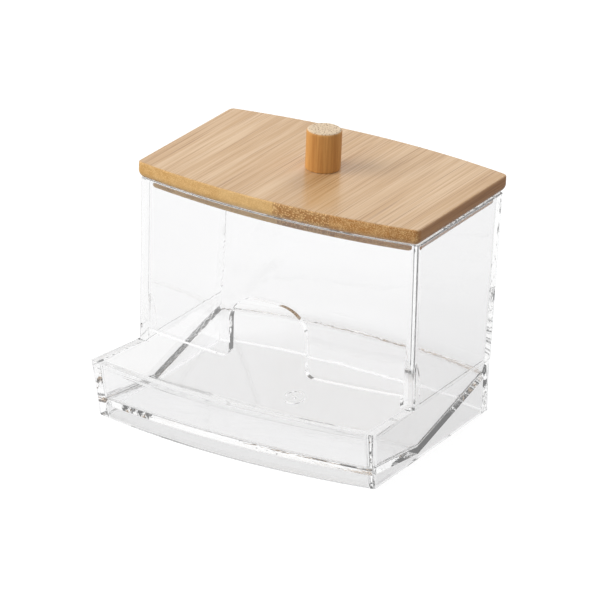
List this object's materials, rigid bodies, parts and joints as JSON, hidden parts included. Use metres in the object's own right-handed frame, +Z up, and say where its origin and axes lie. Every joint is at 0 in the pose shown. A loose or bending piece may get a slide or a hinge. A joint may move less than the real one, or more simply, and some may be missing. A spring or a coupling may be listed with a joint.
{
  "type": "cotton pad holder",
  "caption": "Clear bowed box that drops round cotton pads onto a projecting dispensing tray, with a finger notch and a lift-off bamboo lid with a dowel knob.",
  "frame": {"origin": "middle of the overall footprint, on the surface that the tray stands on", "axes": "+X to the right across the front, +Y to the back, +Z up; the dispensing tray reaches out towards -Y"},
  "size_m": [0.1122, 0.1028, 0.1021],
  "materials": {
    "clear_plastic": "clear, water-white, polished moulding",
    "bamboo": "edge-glued bamboo strips, fine straight grain, matt clear lacquer",
    "bamboo_dowel": "turned bamboo dowel, speckled end grain, matt clear lacquer",
    "screw_steel": "plain zinc-plated steel"
  },
  "bodies": {
    "tray_and_box": {"dispensing_tray": "clear_plastic", "upper_box": "clear_plastic"},
    "lid": {"lid_strip_1": "bamboo", "lid_strip_2": "bamboo", "lid_strip_3": "bamboo", "lid_strip_4": "bamboo", "lid_strip_5": "bamboo", "lid_strip_6": "bamboo", "knob": "bamboo_dowel", "knob_screw": "screw_steel"}
  },
  "joints": [
    {"name": "lid_lift", "type": "slide", "parent": "tray_and_box", "child": "lid", "axis": [0, 0, 1], "range_m": [0, 0.06]}
  ]
}
